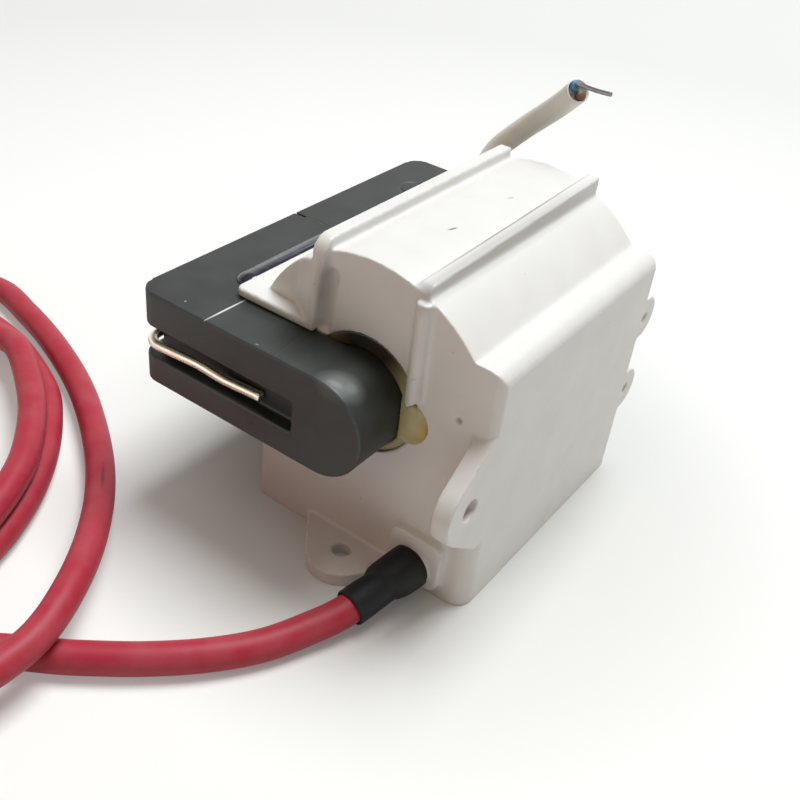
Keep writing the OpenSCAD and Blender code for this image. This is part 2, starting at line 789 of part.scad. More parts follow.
module lead_jacket() {
    color("whitesmoke") difference() {
        tube(jacket_route, jacket_d / 2, 12, [1, 0, 0.3]);
        for (side = [-1, 1])
            along(jacket_end + side * strand_off * blue_side - (strand_depth + fit) * jacket_way, jacket_way)
                cylinder(d = strand_d + fit, h = strand_depth + join);
    }
}

module blue_core() {
    color("steelblue") difference() {
        strand(1, blue_out);
        along(wire_root - fit * jacket_way, jacket_way) cylinder(d = wire_d + fit, h = strand_depth);
    }
}

module brown_core() {
    color("saddlebrown") strand(-1, brown_out);
}

module bare_wire() {
    color("silver") tube(wire_route, wire_d / 2, 8, [0, 1, 0]);
}

case_shell();
potting();
core_half_front();
core_half_rear();
outer_leg_spacer();
round_leg_spacer();
core_clip();
leg_glue_front();
leg_glue_rear();
core_glue_bead();
primary_bobbin();
primary_winding();
secondary_former();
for (i = [0 : section_count - 1]) secondary_section(i);
for (i = [0 : rod_count - 1]) rectifier_rod(i);
shrink_sleeve();
hv_lead();
hv_lead_coil();
lead_jacket();
blue_core();
brown_core();
bare_wire();
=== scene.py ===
"""Looks of a flyback transformer: the finish of every piece, its loose leads, the floor, light and camera.

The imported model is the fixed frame, in metres: +Z is up, the table lies at Z 0, the round leg of the
ferrite core runs along Y above the origin, and the case's front looks to -Y.
"""

import logging
import math
from collections.abc import Callable
from dataclasses import dataclass
from enum import Enum

import bmesh
import bpy
import numpy as np
from mathutils import Matrix, Vector


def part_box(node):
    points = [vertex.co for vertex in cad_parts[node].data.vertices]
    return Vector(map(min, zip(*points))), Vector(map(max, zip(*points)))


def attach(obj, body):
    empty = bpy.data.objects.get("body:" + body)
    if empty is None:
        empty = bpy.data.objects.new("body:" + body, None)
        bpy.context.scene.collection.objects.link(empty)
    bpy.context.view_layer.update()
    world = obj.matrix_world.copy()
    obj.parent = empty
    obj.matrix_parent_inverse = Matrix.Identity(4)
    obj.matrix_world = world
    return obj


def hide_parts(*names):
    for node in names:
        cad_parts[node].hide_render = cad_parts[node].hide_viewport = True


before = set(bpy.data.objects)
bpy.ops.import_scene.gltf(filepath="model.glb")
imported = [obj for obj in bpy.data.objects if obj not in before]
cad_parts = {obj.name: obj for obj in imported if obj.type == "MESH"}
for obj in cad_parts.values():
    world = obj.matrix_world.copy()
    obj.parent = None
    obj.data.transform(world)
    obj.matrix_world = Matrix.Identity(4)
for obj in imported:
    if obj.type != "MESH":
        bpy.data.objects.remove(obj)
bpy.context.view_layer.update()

LOG = logging.getLogger("flyback_transformer")
BODY = "root"
MM = 0.001
# Points of a CAD mesh that lie closer than this are one, in metres
WELD = 1e-7
# Attribute on a mesh's points: how sharply the surface bends outwards there, from 0 to 1
EDGE = "edge"

Point = tuple[float, float, float]
Mesh = bpy.types.Mesh
Node = bpy.types.Node
Socket = bpy.types.NodeSocket
Tree = bpy.types.NodeTree
Shaper = Callable[[np.ndarray, np.ndarray], np.ndarray]


class Slot(Enum):
    """Names of the material slots."""

    CASE = "case_plastic"
    POTTING = "potting_epoxy"
    FERRITE = "ferrite"
    SPACER = "spacer_film"
    CLIP = "clip_wire"
    AMBER = "amber_glue"
    DARK = "dark_glue"
    BOBBIN = "bobbin_plastic"
    WINDING = "copper_winding"
    RECTIFIER = "rectifier_body"
    SLEEVE = "shrink_tube"
    RED = "lead_silicone"
    WHITE = "white_jacket"
    BLUE = "blue_insulation"
    BROWN = "brown_insulation"
    WIRE = "tinned_wire"


def linear(code: str) -> tuple[float, float, float, float]:
    """Turns an sRGB hex colour into linear light.

    Args:
        code: Colour as "#RRGGBB".
    Returns:
        Linear red, green and blue, with an alpha of 1.
    """
    parts = [int(code[i : i + 2], 16) / 255 for i in (1, 3, 5)]
    light = [c / 12.92 if c <= 0.04045 else ((c + 0.055) / 1.055) ** 2.4 for c in parts]
    return (light[0], light[1], light[2], 1.0)


def per_size(size_mm: float) -> float:
    """The texture scale at which a pattern repeats about once in a size given in millimetres."""
    return 1 / (size_mm * MM)


def add_node(tree: Tree, kind: str, inputs: dict | None = None, **settings) -> Node:
    """Adds a shader node with its settings and links.

    Args:
        tree: Node tree of a material or world.
        kind: Blender's type name of the node, without its ShaderNode prefix.
        inputs: By input name or number, a value to set or an output socket to link.
        **settings: Properties of the node itself.
    Returns:
        The new node.
    """
    node = tree.nodes.new("ShaderNode" + kind)
    for name, value in settings.items():
        setattr(node, name, value)
    for key, value in (inputs or {}).items():
        if isinstance(value, Socket):
            tree.links.new(value, node.inputs[key])
        else:
            node.inputs[key].default_value = value
    return node


@dataclass(frozen=True)
class Mark:
    """A stain, scuff, scratch, painted highlight or painted shade: a soft-edged oval on the surface, with
    sizes in millimetres.
    """

    centre: Point
    half: Point
    turn_deg: float = 0.0
    strength: float = 1.0
    # Share of the way from the middle to the edge that has the full strength
    core: float = 0.4

    def mask(self, tree: Tree, place: Socket) -> Socket:
        """Adds the nodes that draw the mark.

        Args:
            tree: Node tree of the material.
            place: Socket with the place on the object.
        Returns:
            Socket that is the mark's strength inside it and 0 outside.
        """
        oval = {
            "Vector": place,
            "Location": [c * MM for c in self.centre],
            "Rotation": (0.0, 0.0, math.radians(self.turn_deg)),
            "Scale": [h * MM for h in self.half],
        }
        local = add_node(tree, "Mapping", oval, vector_type="TEXTURE").outputs["Vector"]
        reach = add_node(tree, "VectorMath", {0: local}, operation="LENGTH").outputs["Value"]
        fade = {"Value": reach, "From Min": 1.0, "From Max": self.core, "To Max": self.strength}
        return add_node(tree, "MapRange", fade).outputs["Result"]


@dataclass(frozen=True)
class Skin:
    """What a finish's pattern gives its surface: colours, fine relief, rougher places and coarse relief."""

    # Where and how much each further colour covers the finish's own, and that colour
    layers: tuple[tuple[Socket, str], ...]
    relief: Socket
    rough: Socket | None = None
    swell: Socket | None = None


@dataclass(frozen=True)
class Finish:
    """What every finish has: the real material's name, its colour and how it takes the light."""

    name: str
    colour: str
    roughness: float
    ior: float = 1.5
    metallic: float = 0.0
    # Marks with their colours: real stains, scuffs and scratches, and also painted highlights and painted
    # shade
    stains_and_painted_light: tuple[tuple[Mark, str], ...] = ()
    # How far the roughness goes down and up from place to place
    smoother: float = 0.08
    rougher: float = 0.12
    relief_mm: float = 0.01
    relief_strength: float = 0.5
    # Share of the light that goes on inside the material, how far it gets, and that in red, green and blue
    glow: float = 0.0
    glow_mm: float = 1.5
    glow_reach: Point = (1.0, 0.6, 0.25)

    def material(self) -> bpy.types.Material:
        """Makes the finish's material the first time, and returns that one afterwards."""
        made = bpy.data.materials.get(self.name)
        if made is not None:
            return made
        made = bpy.data.materials.new(self.name)
        made.use_nodes = True
        tree = made.node_tree
        tree.nodes.clear()
        place = add_node(tree, "TexCoord").outputs["Object"]
        skin = self.paint(tree, place)
        stains_and_painted_light = tuple((mark.mask(tree, place), shade) for mark, shade in self.stains_and_painted_light)
        tone = linear(self.colour)
        for share, shade in skin.layers + stains_and_painted_light:
            tone = add_node(tree, "Mix", {0: share, 6: tone, 7: linear(shade)}, data_type="RGBA").outputs[2]
        relief = {"Height": skin.relief, "Distance": self.relief_mm * MM, "Strength": self.relief_strength}
        if skin.swell is not None:
            relief["Normal"] = skin.swell
        surface = {
            "Base Color": tone,
            "Roughness": self.roughness,
            "IOR": self.ior,
            "Metallic": self.metallic,
            "Subsurface Weight": self.glow,
            "Subsurface Radius": self.glow_reach,
            "Subsurface Scale": self.glow_mm * MM,
            "Normal": add_node(tree, "Bump", relief).outputs["Normal"],
        }
        if skin.rough is not None:
            low, high = self.roughness - self.smoother, self.roughness + self.rougher
            gloss = add_node(tree, "MapRange", {"Value": skin.rough, "To Min": low, "To Max": high})
            surface["Roughness"] = gloss.outputs["Result"]
        shader = add_node(tree, "BsdfPrincipled", surface)
        add_node(tree, "OutputMaterial", {"Surface": shader.outputs["BSDF"]})
        return made

    def paint(self, tree: Tree, place: Socket) -> Skin:
        """Adds the finish's own pattern.

        Args:
            tree: Node tree of the material.
            place: Socket with the place on the object.
        Returns:
            What the pattern gives the surface.
        """
        raise NotImplementedError


@dataclass(frozen=True)
class MouldedPlastic(Finish):
    """Injection-moulded thermoplastic: even colour, a satin skin with faint flow mottling, grime on edges."""

    shade: str = "#D8D2CA"
    grime: str = "#6E675F"
    mottle_mm: float = 9.0
    grain_mm: float = 0.5
    speck_mm: float = 1.6
    grime_share: float = 0.35
    smoother: float = 0.05
    rougher: float = 0.1
    relief_mm: float = 0.012
    relief_strength: float = 0.6

    def paint(self, tree: Tree, place: Socket) -> Skin:
        """Adds mottling, rubbed edges, specks and the mould's fine grain."""
        mottle, speck, grain = (
            add_node(
                tree, "TexNoise", {"Vector": place, "Scale": per_size(size), "Detail": detail}
            ).outputs["Fac"]
            for size, detail in ((self.mottle_mm, 3.0), (self.speck_mm, 2.0), (self.grain_mm, 2.0))
        )
        edge = add_node(tree, "Attribute", attribute_name=EDGE).outputs["Fac"]
        worn = add_node(tree, "Math", {0: edge, 1: speck}, operation="MULTIPLY").outputs["Value"]
        flow = {"Value": mottle, "From Min": 0.35, "From Max": 0.8, "To Max": 0.3}
        dots = {"Value": speck, "From Min": 0.76, "From Max": 0.84, "To Max": 0.4}
        wear = {"Value": worn, "From Min": 0.25, "From Max": 0.6, "To Max": self.grime_share}
        soft, rare, rubbed = (
            add_node(tree, "MapRange", share).outputs["Result"] for share in (flow, dots, wear)
        )
        dirt = add_node(tree, "Math", {0: rare, 1: rubbed}, operation="MAXIMUM").outputs["Value"]
        return Skin(((soft, self.shade), (dirt, self.grime)), grain, mottle)


@dataclass(frozen=True)
class SinteredFerrite(Finish):
    """Pressed and fired ferrite: dark grey-green, fine-grained, satin, pale where it is rubbed."""

    pale: str = "#474D48"
    grain_mm: float = 0.45
    cloud_mm: float = 7.0
    relief_mm: float = 0.02
    relief_strength: float = 0.7

    def paint(self, tree: Tree, place: Socket) -> Skin:
        """Adds clouding, pale edges and the pressed powder's grain."""
        cloud, grain = (
            add_node(
                tree, "TexNoise", {"Vector": place, "Scale": per_size(size), "Detail": detail}
            ).outputs["Fac"]
            for size, detail in ((self.cloud_mm, 5.0), (self.grain_mm, 4.0))
        )
        edge = add_node(tree, "Attribute", attribute_name=EDGE).outputs["Fac"]
        worn = add_node(tree, "Math", {0: edge, 1: grain}, operation="MULTIPLY").outputs["Value"]
        wear = {"Value": worn, "From Min": 0.2, "From Max": 0.6, "To Max": 0.5}
        haze = {"Value": cloud, "From Min": 0.4, "From Max": 0.85, "To Max": 0.3}
        rubbed, hazy = (add_node(tree, "MapRange", share).outputs["Result"] for share in (wear, haze))
        pale = add_node(tree, "Math", {0: rubbed, 1: hazy}, operation="MAXIMUM").outputs["Value"]
        return Skin(((pale, self.pale),), grain, cloud)


@dataclass(frozen=True)
class DrawnWire(Finish):
    """Drawn metal wire: mirror-like along its length, with fine die lines and a dull film in patches."""

    film: str = "#8C8780"
    film_share: float = 0.6
    patch_mm: float = 2.2
    line_mm: float = 0.12
    metallic: float = 1.0
    smoother: float = 0.06
    rougher: float = 0.16
    relief_mm: float = 0.004
    relief_strength: float = 0.4

    def paint(self, tree: Tree, place: Socket) -> Skin:
        """Adds the patchy film and the die lines. The lines are drawn coarser than real ones, to show."""
        patch, lines = (
            add_node(
                tree, "TexNoise", {"Vector": place, "Scale": per_size(size), "Detail": detail}
            ).outputs["Fac"]
            for size, detail in ((self.patch_mm, 4.0), (self.line_mm, 1.0))
        )
        cover = {"Value": patch, "From Min": 0.45, "From Max": 0.75, "To Max": self.film_share}
        dull = add_node(tree, "MapRange", cover).outputs["Result"]
        return Skin(((dull, self.film),), lines, patch)


@dataclass(frozen=True)
class ExtrudedSheath(Finish):
    """Extruded rubber or vinyl round a conductor: even colour, satin, handling dust and soft die waves."""

    dust: str = "#D9A7A4"
    dust_share: float = 0.2
    cloud_mm: float = 6.0
    grain_mm: float = 0.35
    wave_mm: float = 5.0
    wave_depth_mm: float = 0.15
    wave_strength: float = 0.35

    def paint(self, tree: Tree, place: Socket) -> Skin:
        """Adds dust clouds, the extruder's waves and a fine grain."""
        cloud, wave, grain = (
            add_node(
                tree, "TexNoise", {"Vector": place, "Scale": per_size(size), "Detail": detail}
            ).outputs["Fac"]
            for size, detail in ((self.cloud_mm, 5.0), (self.wave_mm, 1.0), (self.grain_mm, 2.0))
        )
        cover = {"Value": cloud, "From Min": 0.4, "From Max": 0.8, "To Max": self.dust_share}
        dusty = add_node(tree, "MapRange", cover).outputs["Result"]
        waves = {"Height": wave, "Distance": self.wave_depth_mm * MM, "Strength": self.wave_strength}
        swell = add_node(tree, "Bump", waves).outputs["Normal"]
        return Skin(((dusty, self.dust),), grain, cloud, swell)


@dataclass(frozen=True)
class CastResin(Finish):
    """Glue or resin that set where it ran: glassy skin, uneven depth of colour, light carried inside it."""

    thin: str = "#D8CFA6"
    cloud_mm: float = 4.0
    swirl_mm: float = 2.5
    relief_mm: float = 0.2
    relief_strength: float = 0.4

    def paint(self, tree: Tree, place: Socket) -> Skin:
        """Adds the change from thin to thick resin and its uneven skin."""
        flow = {"Vector": place, "Scale": per_size(self.cloud_mm), "Detail": 3.0, "Distortion": 0.6}
        swirl = {"Vector": place, "Scale": per_size(self.swirl_mm), "Detail": 2.0}
        cloud, ripple = (add_node(tree, "TexNoise", pattern).outputs["Fac"] for pattern in (flow, swirl))
        thinning = {"Value": cloud, "From Min": 0.35, "From Max": 0.7}
        depth = add_node(tree, "MapRange", thinning).outputs["Result"]
        return Skin(((depth, self.thin),), ripple)


@dataclass(frozen=True)
class WoundWire(Finish):
    """Enamelled copper wire in layers: bands one wire wide, with painted shade between the turns."""

    # painted shade in the grooves between the turns
    painted_gap_shade: str = "#4A1D0C"
    wire_mm: float = 0.5
    relief_mm: float = 0.25
    relief_strength: float = 1.0

    def paint(self, tree: Tree, place: Socket) -> Skin:
        """Adds the turns' bands in relief, and painted shade between them."""
        bands = {"Vector": place, "Scale": per_size(self.wire_mm) / math.tau, "Distortion": 0.3}
        turns = add_node(tree, "TexWave", bands, bands_direction="Y").outputs["Fac"]
        between = add_node(tree, "MapRange", {"Value": turns, "To Min": 1.0, "To Max": 0.0})
        return Skin(((between.outputs["Result"], self.painted_gap_shade),), turns)


# PBT, injection moulded: off-white, satin, with grey rubbed edges, a few dark handling marks and a dark line
# along the right rib's crest, and painted shade on that rib's flank and in the groove beside the column's
# foot
CASE_PBT = MouldedPlastic(
    "moulded_pbt_off_white",
    "#EBE8E4",
    0.36,
    1.55,
    stains_and_painted_light=(
        (Mark((3.1, -12.9, 64.6), (0.3, 1.5, 0.6), -15.0, 0.9), "#55504B"),
        (Mark((3.5, 6.8, 64.6), (0.25, 1.1, 0.6), -20.0, 0.6), "#6E675F"),
        (Mark((21.2, -33.0, 42.0), (0.8, 1.0, 0.9), 0.0, 0.7), "#6E675F"),
        # painted shade: the right rib's flank darker, as a sloping flank in shade would be
        (Mark((11.9, -12.0, 63.6), (2.2, 52.0, 5.0), 0.0, 0.42), "#9C968F"),
        # a dark line along the right rib's crest
        (Mark((9.6, -2.0, 64.8), (0.6, 46.0, 1.6), 0.0, 0.75), "#6F6962"),
        # painted shade in the groove beside the column's foot
        (Mark((-9.0, -33.5, 56.0), (1.8, 3.0, 9.0), 0.0, 0.5), "#8A7D72"),
    ),
)
# Nylon, injection moulded: milky white, hidden inside the case
BOBBIN_NYLON = MouldedPlastic("moulded_nylon_milky", "#E6E0D2", 0.45, 1.53)
# Manganese-zinc ferrite, pressed and fired: dark, satin, with scratches, a dark line with a painted highlight
# along one side, a painted highlight on the round end's top, and paler low on the front face
CORE_FERRITE = SinteredFerrite(
    "sintered_ferrite_dark",
    "#141A16",
    0.48,
    1.62,
    stains_and_painted_light=(
        (Mark((-26.3, -40.2, 46.5), (0.3, 6.8, 0.6), -1.0), "#D5D8D4"),
        (Mark((-33.5, -43.0, 46.5), (0.25, 0.25, 0.5), 0.0, 0.7), "#C9CDC8"),
        (Mark((-14.5, -44.5, 46.5), (0.5, 0.15, 0.5), 20.0, 0.5), "#C9CDC8"),
        # painted highlight along one side of the dark line
        (Mark((-10.4, -40.8, 46.5), (0.3, 9.0, 0.5), 5.5, 0.5), "#2A302C"),
        (Mark((-10.75, -40.8, 46.5), (0.3, 9.0, 0.5), 5.5, 0.9), "#0E100F"),
        # painted highlight on the round end's top, in soft blotches
        (Mark((3.6, -42.8, 46.0), (5.5, 3.6, 4.0), 20.0, 0.5), "#7E837F"),
        (Mark((2.6, -43.8, 46.2), (2.0, 0.9, 2.0), 20.0, 0.3), "#A4A8A4"),
        (Mark((4.8, -42.0, 45.5), (1.4, 1.6, 2.0), -15.0, 0.25), "#A4A8A4"),
        # paler low along the front face
        (Mark((-27.0, -46.0, 29.0), (24.0, 2.5, 7.0), 0.0, 0.6), "#474D48"),
        (Mark((0.8, -45.5, 36.0), (0.9, 0.5, 0.2), 0.0, 0.8), "#0E100F"),
        (Mark((-14.5, -45.5, 29.6), (0.8, 0.5, 0.3), 0.0, 0.7), "#0E100F"),
    ),
)
# Polyester film: thin tan sheet, seen edge on in the seam of the core
SPACER_FILM = MouldedPlastic("cut_polyester_film_tan", "#4B4231", 0.4, 1.6, shade="#3C3528")
# Tinned spring steel, drawn: bright with a warm film
CLIP_STEEL = DrawnWire("drawn_spring_steel_tinned", "#F8F0E0", 0.22, film="#CBAA7C", film_share=0.35)
# Silicone rubber, extruded: crimson, satin, with a whitish bloom of dust
LEAD_SILICONE = ExtrudedSheath(
    "extruded_silicone_crimson",
    "#AE2A3C",
    0.48,
    1.4,
    stains_and_painted_light=(
        (Mark((-43.4, -57.1, 7.0), (5.5, 0.5, 6.0), -42.0, 0.65), "#4A1C24"),
        (Mark((-61.7, -41.0, 7.0), (1.2, 0.35, 6.0), 10.0, 0.35), "#E3B9B6"),
        (Mark((-31.8, -73.7, 7.0), (1.2, 0.35, 6.0), -65.0, 0.4), "#E3B9B6"),
    ),
    dust_share=0.12,
)
# Polyolefin shrink tube: black, satin, drawn tight by heat
SLEEVE_POLYOLEFIN = ExtrudedSheath(
    "shrunk_polyolefin_black", "#060607", 0.6, 1.4, dust="#1A1A1D", dust_share=0.15
)
# Soft vinyl, extruded: white gone slightly beige
JACKET_VINYL = ExtrudedSheath(
    "extruded_vinyl_white", "#F0ECE2", 0.42, 1.53, dust="#D2CBBC", dust_share=0.35
)
# Soft vinyl, extruded: dull blue and dark brown cores
BLUE_VINYL = ExtrudedSheath("extruded_vinyl_blue", "#4A7FA3", 0.4, 1.53, dust="#8FB0C4", dust_share=0.4)
BROWN_VINYL = ExtrudedSheath("extruded_vinyl_brown", "#5A3A28", 0.4, 1.53, dust="#B98A66", dust_share=0.5)
# Tinned copper, drawn: dull grey from age
WIRE_TINNED = DrawnWire("drawn_copper_tinned", "#9B9893", 0.34, film="#6D6A66")
# Hot-melt glue, run and set: amber and cloudy, pale where it is thin, with painted shade over the ring's
# upper part, deep in the hole
GLUE_AMBER = CastResin(
    "set_hot_melt_amber",
    "#C9BE93",
    0.24,
    1.49,
    thin="#BDB07C",
    glow=0.4,
    stains_and_painted_light=(
        (Mark((0.0, -32.7, 36.5), (10.6, 3.0, 30.0), 0.0, 0.85), "#5E5634"),
        # painted shade: the ring's upper part darker, where it lies deep in the hole
        (Mark((1.5, -32.7, 49.5), (12.5, 3.0, 9.5), 0.0, 0.97), "#2C281B"),
        (Mark((15.9, -34.0, 36.0), (2.6, 3.0, 6.0), 0.0, 0.85), "#C79C34"),
    ),
)
# Epoxy bead, run and set: blue-black and glassy, with painted highlights in pale lines along it
GLUE_DARK = CastResin(
    "set_epoxy_blue_black",
    "#26272D",
    0.1,
    1.6,
    stains_and_painted_light=(
        # painted highlights: pale lines along the bead's glossy edges
        (Mark((-32.6, -12.0, 47.0), (0.4, 24.0, 0.8), 0.4, 0.8), "#C9CBD0"),
        (Mark((-31.3, -22.0, 47.8), (0.35, 13.0, 0.8), -1.0, 0.5), "#74747F"),
        (Mark((-30.2, 2.0, 48.0), (0.35, 26.0, 0.8), 0.5, 0.5), "#8A8B93"),
    ),
    thin="#3D3C48",
)
# Filled epoxy, cast: pale grey-beige potting with a level glossy face
POTTING_EPOXY = CastResin("cast_epoxy_potting", "#BDB5A4", 0.3, 1.55, thin="#C9C2B3", swirl_mm=12.0)
# Enamelled copper, wound in layers: brown, shiny bands
WINDING_COPPER = WoundWire("wound_copper_enamelled", "#A85A2A", 0.3, 1.5, 1.0)
# Epoxy, moulded: the rectifiers' black rods
RECTIFIER_EPOXY = MouldedPlastic(
    "moulded_epoxy_black", "#1B1B1D", 0.4, 1.55, shade="#2A2A2C", grime="#101011"
)


def add_piece(
    data: bpy.types.ID, name: str, finish: Finish, nodes: tuple[str, ...]
) -> bpy.types.Object:
    """Puts a mesh or curve in the scene as a dressed piece of the transformer.

    Args:
        data: The piece's mesh or curve.
        name: The piece's name.
        finish: Finish of its surface.
        nodes: CAD nodes that it stands for.
    Returns:
        The new object.
    """
    piece = bpy.data.objects.new(name, data)
    bpy.context.scene.collection.objects.link(piece)
    data.materials.clear()
    data.materials.append(finish.material())
    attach(piece, BODY)
    if nodes:
        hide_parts(*nodes)
    LOG.info("piece %s in %s", name, finish.name)
    return piece


def dress_node(node: str, finish: Finish) -> None:
    """Gives a CAD node that stays in the scene its finish."""
    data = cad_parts[node].data
    data.materials.clear()
    data.materials.append(finish.material())
    LOG.info("node %s in %s", node, finish.name)


def points_of(mesh: Mesh) -> np.ndarray:
    """The places of a mesh's points, one row each."""
    flat = np.empty(len(mesh.vertices) * 3, np.float32)
    mesh.vertices.foreach_get("co", flat)
    return flat.reshape(-1, 3).astype(float)


def links_of(mesh: Mesh) -> np.ndarray:
    """The two points of each of a mesh's edges, one row each."""
    ends = np.empty(len(mesh.edges) * 2, np.int64)
    mesh.edges.foreach_get("vertices", ends)
    return ends.reshape(-1, 2)


def baked(mesh: Mesh, modifiers: list[tuple[str, dict]]) -> Mesh:
    """Runs a mesh through modifiers.

    Args:
        mesh: The mesh to start from. It is used up.
        modifiers: Type and settings of each modifier, in order.
    Returns:
        The new mesh.
    """
    worker = bpy.data.objects.new("worker", mesh)
    bpy.context.scene.collection.objects.link(worker)
    for kind, settings in modifiers:
        modifier = worker.modifiers.new(kind, kind)
        for name, value in settings.items():
            setattr(modifier, name, value)
    graph = bpy.context.evaluated_depsgraph_get()
    made = bpy.data.meshes.new_from_object(worker.evaluated_get(graph))
    bpy.data.objects.remove(worker)
    bpy.data.meshes.remove(mesh)
    return made


def note_edges(mesh: Mesh, sharpest_mm: float = 0.06) -> None:
    """Stores on each point how sharply the surface bends outwards there.

    Args:
        mesh: The mesh to mark.
        sharpest_mm: Height of a point over its neighbours' middle that counts as a full edge.
    """
    count = len(mesh.vertices)
    ends = links_of(mesh)
    place = points_of(mesh)
    normal = np.empty(count * 3, np.float32)
    mesh.vertex_normals.foreach_get("vector", normal)
    total = np.zeros((count, 3))
    share = np.zeros(count)
    for a, b in ((0, 1), (1, 0)):
        np.add.at(total, ends[:, a], place[ends[:, b]])
        np.add.at(share, ends[:, a], 1)
    height = ((place - total / np.maximum(share, 1)[:, None]) * normal.reshape(-1, 3)).sum(1)
    value = np.clip(height / (sharpest_mm * MM), 0, 1)
    mesh.attributes.new(EDGE, "FLOAT", "POINT").data.foreach_set("value", value.astype(np.float32))


@dataclass(frozen=True)
class Rounding:
    """How a CAD node's mesh is redrawn: spacing of its points, rounds of smoothing, most triangles."""

    voxel_mm: float
    passes: int
    most: int


def soften(node: str, how: Rounding, shape: Shaper | None = None) -> Mesh:
    """Copies a CAD node's mesh and rounds its edges a little, as a mould, die or kiln leaves them.

    Args:
        node: The CAD node.
        how: How finely it is redrawn and how much it is rounded.
        shape: Moves the points afterwards, given them and the mesh's edges.
    Returns:
        The new mesh.
    """
    body = bmesh.new()
    body.from_mesh(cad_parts[node].data)
    bmesh.ops.remove_doubles(body, verts=body.verts, dist=WELD)
    mesh = bpy.data.meshes.new(node + "_soft")
    body.to_mesh(mesh)
    body.free()
    redraw = ("REMESH", {"mode": "VOXEL", "voxel_size": how.voxel_mm * MM})
    mesh = baked(mesh, [redraw, ("SMOOTH", {"factor": 0.5, "iterations": how.passes})])
    if shape is not None:
        moved = shape(points_of(mesh), links_of(mesh))
        mesh.vertices.foreach_set("co", moved.astype(np.float32).ravel())
        mesh.update()
    note_edges(mesh)
    triangles = sum(len(p.vertices) - 2 for p in mesh.polygons)
    if triangles > how.most:
        mesh = baked(mesh, [("DECIMATE", {"ratio": how.most / triangles})])
    mesh.shade_smooth()
    return mesh


def add_soft(
    node: str, name: str, finish: Finish, how: Rounding, shape: Shaper | None = None
) -> None:
    """Adds a CAD node's softened mesh as a dressed piece that stands for it."""
    add_piece(soften(node, how, shape), name, finish, (node,))


def press(place: np.ndarray, centre: Point, radius: float, depth: Point) -> np.ndarray:
    """Pushes a round, soft-edged hollow into a surface.

    Args:
        place: The surface's points.
        centre: Middle of the hollow, in millimetres.
        radius: Its radius, in millimetres.
        depth: How far and which way its middle moves, in millimetres.
    Returns:
        The moved points.
    """
    reach = np.linalg.norm(place - np.array(centre) * MM, axis=1) / (radius * MM)
    share = np.clip(1 - reach, 0, 1)
    return place + (share * share * (3 - 2 * share))[:, None] * np.array(depth) * MM


def melt(place: np.ndarray, links: np.ndarray, centre: Point, half: Point, passes: int) -> np.ndarray:
    """Evens out a surface around a place, so that the forms that meet there flow together.

    Args:
        place: The surface's points.
        links: The two points of each of its edges.
        centre: Middle of the melted place, in millimetres.
        half: How far it reaches along X, Y and Z, in millimetres.
        passes: How often it is evened out.
    Returns:
        The moved points.
    """
    reach = np.linalg.norm((place / MM - np.array(centre)) / np.array(half), axis=1)
    share = np.clip(1 - reach, 0, 0.5)[:, None]
    near = links[(reach[links] < 1).any(axis=1)]
    count = np.maximum(np.bincount(near.ravel(), minlength=len(place)), 1)[:, None]
    moved = place.copy()
    for _ in range(passes):
        total = np.zeros_like(moved)
        np.add.at(total, near[:, 0], moved[near[:, 1]])
        np.add.at(total, near[:, 1], moved[near[:, 0]])
        moved += share * (total / count - moved)
    return moved


def smooth_path(points: list[Vector], step: float) -> list[Vector]:
    """Runs a smooth curve through given points.

    Args:
        points: The points that it goes through.
        step: Distance between the returned points, in the unit of the points given.
    Returns:
        Points along the curve, close together and about evenly spaced.
    """
    ends = [2 * points[0] - points[1], *points, 2 * points[-1] - points[-2]]
    path = [points[0]]
    for before, start, end, after in zip(ends, ends[1:], ends[2:], ends[3:]):
        count = max(1, round((end - start).length / step))
        for i in range(1, count + 1):
            t = i / count
            pull_in = (end - before) / 2
            pull_out = (after - start) / 2
            rise = 3 * t * t - 2 * t**3
            path.append(
                start * (1 - rise)
                + end * rise
                + pull_in * (t - 2 * t * t + t**3)
                + pull_out * (t**3 - t * t)
            )
    return path


def headings(path: list[Vector]) -> list[Vector]:
    """The way along a path at each of its points."""
    last = len(path) - 1
    return [(path[min(i + 1, last)] - path[max(i - 1, 0)]).normalized() for i in range(last + 1)]


def cord_curve(name: str, path: list[Vector], radius: float, fineness: int = 7) -> bpy.types.Curve:
    """A round cord along a path, as a curve of one open spline."""
    curve = bpy.data.curves.new(name, "CURVE")
    curve.dimensions = "3D"
    curve.bevel_depth = radius
    curve.bevel_resolution = fineness
    curve.use_fill_caps = True
    spline = curve.splines.new("POLY")
    spline.points.add(len(path) - 1)
    for point, place in zip(spline.points, path):
        point.co = (*place, 1.0)
    return curve


@dataclass(frozen=True)
class Ring:
    """One cross-section of a round body: its middle, the way it faces and its radius."""

    middle: Vector
    way: Vector
    radius: float


def loft(name: str, rings: list[Ring], sides: int = 32) -> Mesh:
    """Joins round cross-sections to a closed mesh.

    Args:
        name: The mesh's name.
        rings: The cross-sections in order. They may run back into the body, for a hollow end.
        sides: Number of sides of each.
    Returns:
        The new mesh.
    """
    body = bmesh.new()
    side = rings[0].way.orthogonal().normalized()
    rows = []
    for ring in rings:
        side = (side - ring.way * side.dot(ring.way)).normalized()
        up = ring.way.cross(side)
        turns = [math.tau * k / sides for k in range(sides)]
        places = [ring.middle + ring.radius * (math.cos(a) * side + math.sin(a) * up) for a in turns]
        rows.append([body.verts.new(place) for place in places])
    for low, high in zip(rows, rows[1:]):
        for k in range(sides):
            n = (k + 1) % sides
            body.faces.new((low[k], low[n], high[n], high[k]))
    body.faces.new(rows[0][::-1])
    body.faces.new(rows[-1])
    bmesh.ops.recalc_face_normals(body, faces=body.faces)
    mesh = bpy.data.meshes.new(name)
    body.to_mesh(mesh)
    body.free()
    mesh.shade_smooth()
    return mesh


